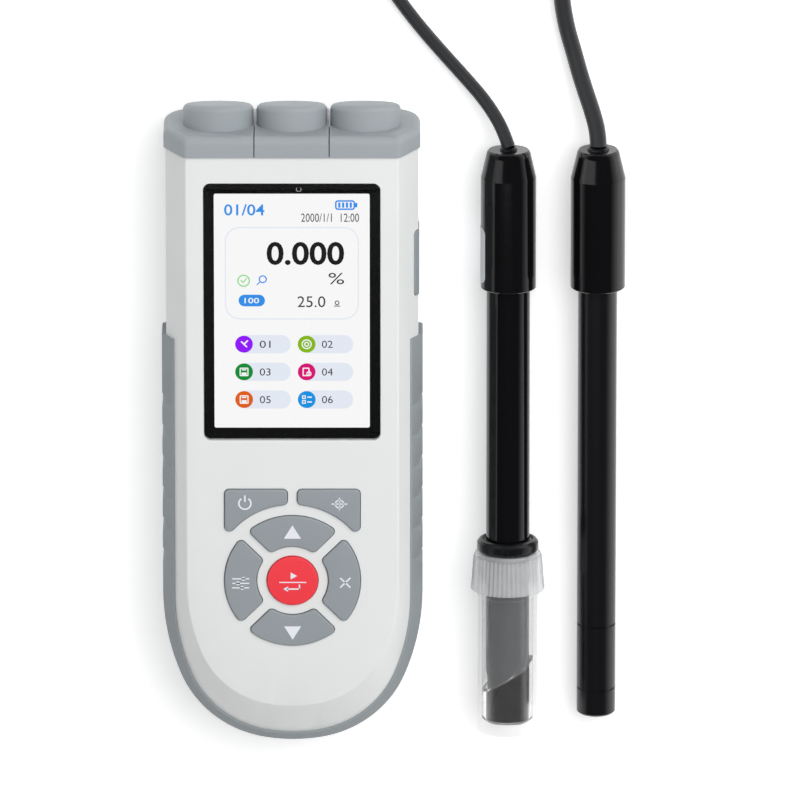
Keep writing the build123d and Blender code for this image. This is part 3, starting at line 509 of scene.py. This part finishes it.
finishes = {
    "front_shell": abs_white,
    "back_shell": abs_grey,
    "case_gasket": nitrile_black,
    "grip_band": tpe_grip,
    "side_port_cover": tpe_grip,
    "socket_panel": abs_grey,
    "left_socket_cover": rubber_cover,
    "middle_socket_cover": rubber_cover,
    "right_socket_cover": rubber_cover,
    "lens": window_clear,
    "lens_mask": print_black,
    "display_module": screen_white,
    "light_sensor": print_black,
    "key_power": key_grey,
    "key_cal": key_grey,
    "key_up": key_grey,
    "key_down": key_grey,
    "key_set": key_grey,
    "key_esc": key_grey,
    "key_enter": key_red,
    "keypad_mat": tpe_grip,
    "key_switches": gold,
    "main_board": mask_green,
    "port_board": mask_green,
    "board_screws": nickel,
    "case_screws": nickel,
    "battery": battery_blue,
    "buzzer": print_black,
    "usb_socket": nickel,
    "bnc_socket": nickel,
    "middle_socket": nickel,
    "right_socket": nickel,
    "socket_nuts": nickel,
    "socket_inserts": socket_grey,
    "socket_seals": nitrile_black,
    "ph_probe_handle": abs_black,
    "ph_probe_cable_collar": nitrile_black,
    "ph_probe_shaft": abs_black,
    "ph_probe_guard": abs_black_satin,
    "ph_probe_bulb": bulb_glass,
    "storage_bottle": bottle_clear,
    "storage_solution": solution_clear,
    "bottle_cap": cap_clear,
    "bottle_seal": nitrile_black,
    "oxygen_probe_handle": abs_black,
    "oxygen_probe_cable_collar": nitrile_black,
    "oxygen_probe_shaft": abs_black_satin,
    "oxygen_sensor_sleeve": abs_black_satin,
    "oxygen_sensor_core": bulb_glass,
    "membrane_cap": abs_black_satin,
    "ph_plug_body": pvc_black,
    "ph_plug_sleeve": nickel,
    "oxygen_plug_body": pvc_black,
    "oxygen_plug_nut": nickel,
    "plug_contacts": gold,
}
skins = {node: dress(node, material) for node, material in finishes.items()}

# The cone at each handle's head ends in a sharp edge, at a Y in millimetres
PH_CONE_END = 83.7
OXYGEN_CONE_END = 83.8
for node, cone_end in (
    ("ph_probe_handle", PH_CONE_END),
    ("oxygen_probe_handle", OXYGEN_CONE_END),
):
    form = bmesh.new()
    form.from_mesh(skins[node].data)
    for edge in form.edges:
        if all(abs(vert.co.y - cone_end * MM) < 0.2 * MM for vert in edge.verts):
            edge.smooth = False
    form.to_mesh(skins[node].data)
    form.free()

for line, nodes in (
    (ph_line, ("ph_cable", "ph_cable_coil")),
    (oxygen_line, ("oxygen_cable", "oxygen_cable_coil")),
):
    line.data.materials.append(pvc_black)
    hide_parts(*nodes)

# Flat prints: figures and signs on the screen and on the keys, with a thickness in millimetres
PRINT_THICKNESS = 0.02


def plate(form, x, y, width, height, corner=0.0):
    """A flat rounded rectangle about a point, in millimetres."""
    made = bmesh.ops.create_grid(form, x_segments=1, y_segments=1, size=0.5)
    bmesh.ops.scale(form, verts=made["verts"], vec=(width, height, 1))
    bmesh.ops.translate(form, verts=made["verts"], vec=(x, y, 0))
    if corner:
        bmesh.ops.bevel(
            form,
            geom=made["verts"],
            affect="VERTICES",
            offset=min(corner, 0.499 * min(width, height)),
            segments=8,
            profile=0.5,
            material=-1,
        )


def frame_line(form, x, y, width, height, corner, line):
    """The outline of a rounded rectangle, with a line's width inside it."""
    shape = bmesh.new()
    plate(shape, x, y, width, height, corner)
    bmesh.ops.inset_region(
        shape,
        faces=shape.faces[:],
        thickness=line,
        use_boundary=True,
        use_even_offset=True,
    )
    middle = max(shape.faces, key=lambda face: len(face.verts))
    bmesh.ops.delete(shape, geom=[middle], context="FACES_ONLY")
    join(form, shape)


def join(form, shape):
    """Adds one shape to another and frees it."""
    mesh = bpy.data.meshes.new("shape")
    shape.to_mesh(mesh)
    shape.free()
    form.from_mesh(mesh)
    bpy.data.meshes.remove(mesh)


def disc(form, x, y, radius, corners=48, turn=0.0, stretch=1.0):
    """A flat disc, or a regular shape with a few corners."""
    made = bmesh.ops.create_circle(form, cap_ends=True, segments=corners, radius=radius)
    bmesh.ops.rotate(form, verts=made["verts"], matrix=Matrix.Rotation(turn, 3, "Z"))
    bmesh.ops.scale(form, verts=made["verts"], vec=(stretch, 1, 1))
    bmesh.ops.translate(form, verts=made["verts"], vec=(x, y, 0))


def bar(form, x, y, length, width, turn=0.0):
    """A straight stroke about a point."""
    made = bmesh.ops.create_grid(form, x_segments=1, y_segments=1, size=0.5)
    bmesh.ops.scale(form, verts=made["verts"], vec=(length, width, 1))
    bmesh.ops.rotate(form, verts=made["verts"], matrix=Matrix.Rotation(turn, 3, "Z"))
    bmesh.ops.translate(form, verts=made["verts"], vec=(x, y, 0))


def ring(form, x, y, radius, line, opening=0.0):
    """A ring, with an opening at its top where an angle is given."""
    shape = bmesh.new()
    inner = shape.verts.new((0, radius - line, 0))
    outer = shape.verts.new((0, radius, 0))
    edge = shape.edges.new((inner, outer))
    start = Matrix.Rotation(opening / 2, 3, "Z")
    bmesh.ops.rotate(shape, verts=[inner, outer], matrix=start)
    bmesh.ops.spin(
        shape,
        geom=[inner, outer, edge],
        axis=(0, 0, 1),
        cent=(0, 0, 0),
        angle=math.tau - opening,
        steps=48,
        use_merge=not opening,
    )
    bmesh.ops.translate(shape, verts=shape.verts, vec=(x, y, 0))
    join(form, shape)


def figures(form, words, left, top, right, bottom, weight=0.0):
    """Figures that fill a box, in millimetres."""
    curve = bpy.data.curves.new("figures", "FONT")
    curve.body = words
    curve.offset = weight
    curve.resolution_u = 4
    holder = bpy.data.objects.new("figures", curve)
    scene.collection.objects.link(holder)
    bpy.context.view_layer.update()
    mesh = bpy.data.meshes.new_from_object(holder)
    shape = bmesh.new()
    shape.from_mesh(mesh)
    bpy.data.objects.remove(holder)
    bpy.data.meshes.remove(mesh)
    xs = [vert.co.x for vert in shape.verts]
    ys = [vert.co.y for vert in shape.verts]
    wide = (right - left) / (max(xs) - min(xs))
    high = (top - bottom) / (max(ys) - min(ys))
    bmesh.ops.translate(shape, verts=shape.verts, vec=(-min(xs), -min(ys), 0))
    bmesh.ops.scale(shape, verts=shape.verts, vec=(wide, high, 1))
    bmesh.ops.translate(shape, verts=shape.verts, vec=(left, bottom, 0))
    join(form, shape)


def thin_piece(name, form, thickness, offset, body, material):
    """Makes flat shapes, in millimetres, one thin piece on a body."""
    bmesh.ops.scale(form, verts=form.verts, vec=(MM, MM, MM))
    mesh = bpy.data.meshes.new(name)
    form.to_mesh(mesh)
    form.free()
    mesh.materials.append(material)
    piece = bpy.data.objects.new(name, mesh)
    scene.collection.objects.link(piece)
    wall = piece.modifiers.new("wall", "SOLIDIFY")
    wall.thickness = thickness * MM
    wall.offset = offset
    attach(piece, body)


def printed(name, form, height, body, material):
    """Prints the flat shapes at a height, in millimetres, on a body."""
    for face in form.faces:
        if face.normal.z < 0:
            face.normal_flip()
    bmesh.ops.translate(form, verts=form.verts, vec=(0, 0, height))
    thin_piece(name, form, PRINT_THICKNESS, 1, body, material)


def screen_print(name, form, layer, material):
    """Prints the flat shapes over the lit panel, in one of its layers."""
    printed(name, form, panel_top + layer * LAYER, "root", material)


# The screen's picture. Its places are shares of the lit panel, from its upper left corner
SIDE_BORDER = 3.3
END_BORDER = 3.6
border_low, border_high = ends("lens_mask")
view_left = border_low.x + SIDE_BORDER
view_top = border_high.y - END_BORDER
view_width = border_high.x - SIDE_BORDER - view_left
view_height = view_top - border_low.y - END_BORDER


def at(across, down):
    """A place on the lit panel, in millimetres, from shares of its width and height."""
    return view_left + across * view_width, view_top - down * view_height


def box(left, top, right, bottom):
    """The edges of a box on the lit panel, in millimetres."""
    return *at(left, top), *at(right, bottom)


# The step between the panel and the prints that lie on each other over it
LAYER = 0.03
panel_top = ends("display_module")[1].z
# From one row of the menu to the next
ROW_PITCH = 0.1186
# The menu's six rows, two to a line
MENU = [(number, number % 2, number // 2) for number in range(6)]

dark_text = lit("screen_dark", "#17181A")
grey_text = lit("screen_grey", "#3A3F44")
blue_text = lit("screen_blue", "#3392F0")
pale_blue = lit("screen_pale_blue", "#EAF0FB")
leaf = lit("screen_leaf", "#8EE08A")
row_colours = (
    ("violet", "#9412FF"),
    ("moss", "#86BD10"),
    ("green", "#0A8F35"),
    ("magenta", "#DE0A78"),
    ("orange", "#E6600F"),
    ("azure", "#0F95E8"),
)

# The reading's frame and the menu's rows
form = bmesh.new()
frame_line(form, *at(0.5, 0.34), 42.2, 30.4, 4.8, 0.4)
for number, column, row in MENU:
    x, y = at(0.31 + 0.402 * column, 0.643 + ROW_PITCH * row)
    plate(form, x + 0.6, y, 16.6, 6.0, 3.0)
screen_print("screen_panels", form, 1, pale_blue)

# The page number, the battery sign with its four bars, and a blue tag
form = bmesh.new()
figures(form, "01/04", *box(0.066, 0.046, 0.325, 0.094), 0.012)
x, y = at(0.842, 0.0495)
frame_line(form, x, y, 6.3, 3.2, 0.9, 0.5)
plate(form, x + 3.5, y, 0.7, 1.5, 0.3)
for number in range(4):
    bar(form, x - 1.8 + 1.2 * number, y, 0.7, 1.7)
plate(form, *at(0.242, 0.4565), 8.3, 3.85, 1.9)
screen_print("screen_blue_signs", form, 1, blue_text)

form = bmesh.new()
figures(form, "0.000", *box(0.338, 0.206, 0.836, 0.305), 0.022)
screen_print("screen_reading", form, 1, dark_text)

# The date, the unit, the temperature with its sign, and the rows' numbers
form = bmesh.new()
figures(form, "2000/1/1  12:00", *box(0.56, 0.085, 0.932, 0.121))
figures(form, "%", *box(0.735, 0.338, 0.836, 0.387))
figures(form, "25.0", *box(0.536, 0.438, 0.715, 0.485))
ring(form, *at(0.79, 0.466), 0.75, 0.3)
bar(form, *at(0.79, 0.48), 1.9, 0.3)
for number, column, row in MENU:
    left, top = 0.292 + 0.4 * column, 0.628 + ROW_PITCH * row
    figures(form, f"{number + 1:02}", *box(left, top, left + 0.07, top + 0.031))
screen_print("screen_small_figures", form, 2, grey_text)

form = bmesh.new()
x, y = at(0.19, 0.372)
ring(form, x, y, 2.0, 0.4)
bar(form, x - 0.55, y - 0.2, 1.1, 0.35, math.radians(-45))
bar(form, x + 0.4, y + 0.1, 1.9, 0.35, math.radians(50))
screen_print("screen_check_sign", form, 1, leaf)

form = bmesh.new()
x, y = at(0.303, 0.372)
bar(form, x - 0.8, y - 0.8, 1.7, 0.35, math.radians(45))
ring(form, x + 0.5, y + 0.5, 1.3, 0.4)
screen_print("screen_pin_sign", form, 1, blue_text)

# Coloured discs at the rows' left, with white signs on them
signs = bmesh.new()
for (number, column, row), (colour, code) in zip(MENU, row_colours):
    x, y = at(0.191 + 0.403 * column, 0.643 + ROW_PITCH * row)
    form = bmesh.new()
    disc(form, x, y, 2.8)
    screen_print(f"screen_disc_{colour}", form, 2, lit(f"screen_{colour}", code))
    if number == 0:
        bar(signs, x, y, 2.6, 0.45, math.radians(-45))
        bar(signs, x + 0.6, y + 0.6, 1.8, 0.45, math.radians(45))
    elif number == 1:
        ring(signs, x, y, 0.8, 0.35)
        ring(signs, x, y, 1.6, 0.35)
    elif number in (2, 4):
        frame_line(signs, x, y, 2.8, 2.8, 0.4, 0.35)
        bar(signs, x, y + 0.7, 1.4, 0.4)
        bar(signs, x, y - 0.6, 1.6, 0.8)
    elif number == 3:
        frame_line(signs, x - 0.2, y, 2.2, 2.8, 0.3, 0.35)
        ring(signs, x + 0.7, y - 0.6, 0.8, 0.3)
    else:
        for height in (-0.8, 0.8):
            frame_line(signs, x - 0.9, y + height, 1.2, 1.2, 0.2, 0.3)
            bar(signs, x + 0.9, y + height, 1.4, 0.4)
figures(signs, "100", *box(0.195, 0.445, 0.289, 0.468), 0.01)
screen_print("screen_white_signs", signs, 3, screen_white)

# Signs printed on the keys, in places about the middle of the round key
round_low, round_high = ends("key_enter")
round_middle = (round_low + round_high) / 2


def key_sign(key, form):
    """Prints a sign on a key, from shapes in millimetres."""
    bmesh.ops.translate(form, verts=form.verts, vec=(0, round_middle.y, 0))
    printed(f"{key}_sign", form, round_high.z, key, legend_white)


# Power: a ring that is open at its top, and a stroke in the opening
form = bmesh.new()
ring(form, -15.0, 25.8, 2.15, 0.5, opening=math.radians(70))
bar(form, -15.0, 27.4, 0.5, 2.2)
key_sign("key_power", form)

# Target: a ring and a cross
form = bmesh.new()
ring(form, 14.9, 25.6, 1.5, 0.4)
bar(form, 14.9, 25.6, 5.0, 0.4)
bar(form, 14.9, 25.6, 0.4, 4.2)
key_sign("key_cal", form)

# Up and down: triangles
form = bmesh.new()
disc(form, 0, 15.6, 2.95, corners=3, stretch=1.06)
key_sign("key_up", form)
form = bmesh.new()
disc(form, 0, -16.5, 2.95, corners=3, turn=math.pi, stretch=1.06)
key_sign("key_down", form)

# Left of the ring: three sliders with their knobs
form = bmesh.new()
for height, knob in ((0.8, 0.9), (-0.7, -0.9), (-2.2, 0.4)):
    bar(form, -16.4, height, 5.4, 0.4)
    disc(form, -16.4 + knob, height, 0.65)
key_sign("key_set", form)

# Right of the ring: a diagonal cross
form = bmesh.new()
for turn in (45, -45):
    bar(form, 16.7, -0.5, 4.6, 0.5, math.radians(turn))
key_sign("key_esc", form)

# The round key: a triangle over a line, and a bent arrow under it
form = bmesh.new()
bar(form, 0.1, -0.4, 8.6, 0.35)
disc(form, 0.1, 1.75, 1.35, corners=3, turn=math.radians(-90))
bar(form, 0.3, -2.6, 4.2, 0.45)
bar(form, 2.2, -1.95, 0.45, 1.7)
disc(form, -1.9, -2.6, 1.0, corners=3, turn=math.radians(90))
key_sign("key_enter", form)

# The blank label on the bottled probe's handle: a plate that is cut into strips and bent round it
handle_low, handle_high = ends("ph_probe_handle")
cap_low, cap_high = ends("bottle_cap")
handle_middle = (handle_low + handle_high) / 2
handle_radius = (handle_high.x - handle_low.x) / 2
cap_radius = (cap_high.x - cap_low.x) / 2
LABEL_PROUD = 0.06
LABEL_LENGTH = 18.0
LABEL_TURN = math.radians(93)
LABEL_CORNER = 2.2
LABEL_THICKNESS = 0.05
LABEL_STRIPS = 24
# Where the label's middle is round the handle, from +X, and along it
LABEL_ANGLE = math.radians(193.5)
LABEL_Y = 58.8
# The probe lies on its cap's widest place and on the edge of its handle's cone, which slopes it
CAP_REST = -39.2
slope = (handle_radius - cap_radius) / (PH_CONE_END - CAP_REST)
label_radius = handle_radius + LABEL_PROUD
label_width = label_radius * LABEL_TURN
label_height = cap_radius + slope * (LABEL_Y - CAP_REST)
form = bmesh.new()
plate(form, 0, 0, label_width, LABEL_LENGTH, LABEL_CORNER)
for strip in range(1, LABEL_STRIPS):
    bmesh.ops.bisect_plane(
        form,
        geom=form.verts[:] + form.edges[:] + form.faces[:],
        plane_co=(label_width * (strip / LABEL_STRIPS - 0.5), 0, 0),
        plane_no=(1, 0, 0),
    )
for vert in form.verts:
    turned = LABEL_ANGLE - vert.co.x / label_radius
    vert.co = (label_radius * math.cos(turned), vert.co.y, label_radius * math.sin(turned))
lean = Matrix.Rotation(math.atan(slope), 3, "X")
bmesh.ops.rotate(form, verts=form.verts, matrix=lean)
bmesh.ops.translate(form, verts=form.verts, vec=(handle_middle.x, LABEL_Y, label_height))
thin_piece("handle_label", form, LABEL_THICKNESS, 0, "root", paper_label)

# Floor, just below the object, and a little brighter to the view than its light makes it
FLOOR_REACH = 5
FLOOR_DROP = 0.2 * MM
FLOOR_LIFT = 0.42
form = bmesh.new()
bmesh.ops.create_grid(form, x_segments=1, y_segments=1, size=FLOOR_REACH)
bmesh.ops.translate(form, verts=form.verts, vec=(0, 0, -FLOOR_DROP))
floor_mesh = bpy.data.meshes.new("floor")
form.to_mesh(floor_mesh)
form.free()
floor = bpy.data.objects.new("floor", floor_mesh)
scene.collection.objects.link(floor)
floor_paint, tree = new_material("floor_paint")
rays = put(tree, "ShaderNodeLightPath")
seen = put(
    tree,
    "ShaderNodeMath",
    sources={0: rays.outputs["Is Camera Ray"], 1: rays.outputs["Is Glossy Ray"]},
    operation="MAXIMUM",
)
seen = put(
    tree,
    "ShaderNodeMath",
    sources={0: seen.outputs[0], 1: rays.outputs["Is Transmission Ray"]},
    operation="MAXIMUM",
)
lift = put(
    tree,
    "ShaderNodeMath",
    {1: FLOOR_LIFT},
    {0: seen.outputs[0]},
    operation="MULTIPLY",
)
paint = put(
    tree,
    "ShaderNodeBsdfPrincipled",
    {
        "Base Color": shade("#F6F6F6"),
        "Roughness": 0.9,
        "Specular IOR Level": 0.0,
        "Emission Color": shade("#FFFFFF"),
    },
    {"Emission Strength": lift.outputs[0]},
)
put(tree, "ShaderNodeOutputMaterial", sources={"Surface": paint.outputs["BSDF"]})
floor_mesh.materials.append(floor_paint)

# World: white behind the object, a plain level on it, and darker overhead in its reflections
PLAIN_LEVEL = 0.42
world = bpy.data.worlds.new("studio")
world.use_nodes = True
tree = world.node_tree
tree.nodes.clear()
rays = put(tree, "ShaderNodeLightPath")
seen = put(
    tree,
    "ShaderNodeMath",
    sources={0: rays.outputs["Is Camera Ray"], 1: rays.outputs["Is Transmission Ray"]},
    operation="MAXIMUM",
)
direction = put(tree, "ShaderNodeTexCoord").outputs["Generated"]
upward = put(tree, "ShaderNodeSeparateXYZ", sources={0: direction})
walls = put(
    tree,
    "ShaderNodeMapRange",
    {"From Min": 0.1, "From Max": 0.55, "To Min": 1.0, "To Max": 0.04},
    {"Value": upward.outputs["Z"]},
)
plain = put(
    tree,
    "ShaderNodeMix",
    {2: PLAIN_LEVEL},
    {0: rays.outputs["Is Glossy Ray"], 3: walls.outputs["Result"]},
)
level = put(tree, "ShaderNodeMix", {3: 1.0}, {0: seen.outputs[0], 2: plain.outputs[0]})
sky = put(
    tree,
    "ShaderNodeBackground",
    {"Color": shade("#FFFFFF")},
    {"Strength": level.outputs[0]},
)
put(tree, "ShaderNodeOutputWorld", sources={"Surface": sky.outputs[0]})
scene.world = world


def lamp(name, place, aim, size, level, glossy):
    """A soft box of a width and a length, aimed at a point, whose level of 1 is white.

    It lights only what is glossy, or else only what is matt.
    """
    light = bpy.data.lights.new(name, "AREA")
    light.shape = "RECTANGLE"
    light.size, light.size_y = size
    light.energy = level * math.pi * size[0] * size[1]
    soft = bpy.data.objects.new(name, light)
    soft.visible_camera = False
    soft.visible_glossy = glossy
    soft.visible_diffuse = not glossy
    soft.visible_transmission = False
    heading = (Vector(place) - Vector(aim)).to_track_quat("Z", "Y")
    soft.matrix_world = Matrix.Translation(place) @ heading.to_matrix().to_4x4()
    scene.collection.objects.link(soft)


lamp("left_box", (-0.66, 0.1, 0.95), (0.05, 0, 0), (0.5, 3.2), 1.0, glossy=True)
lamp("overhead_box", (0.56, 0.75, 1.3), (0.03, 0, 0), (1.6, 1.6), 2.3, glossy=False)
lamp("right_box", (0.9, 0.25, 0.7), (0.03, 0, 0), (0.8, 1.4), 0.5, glossy=False)
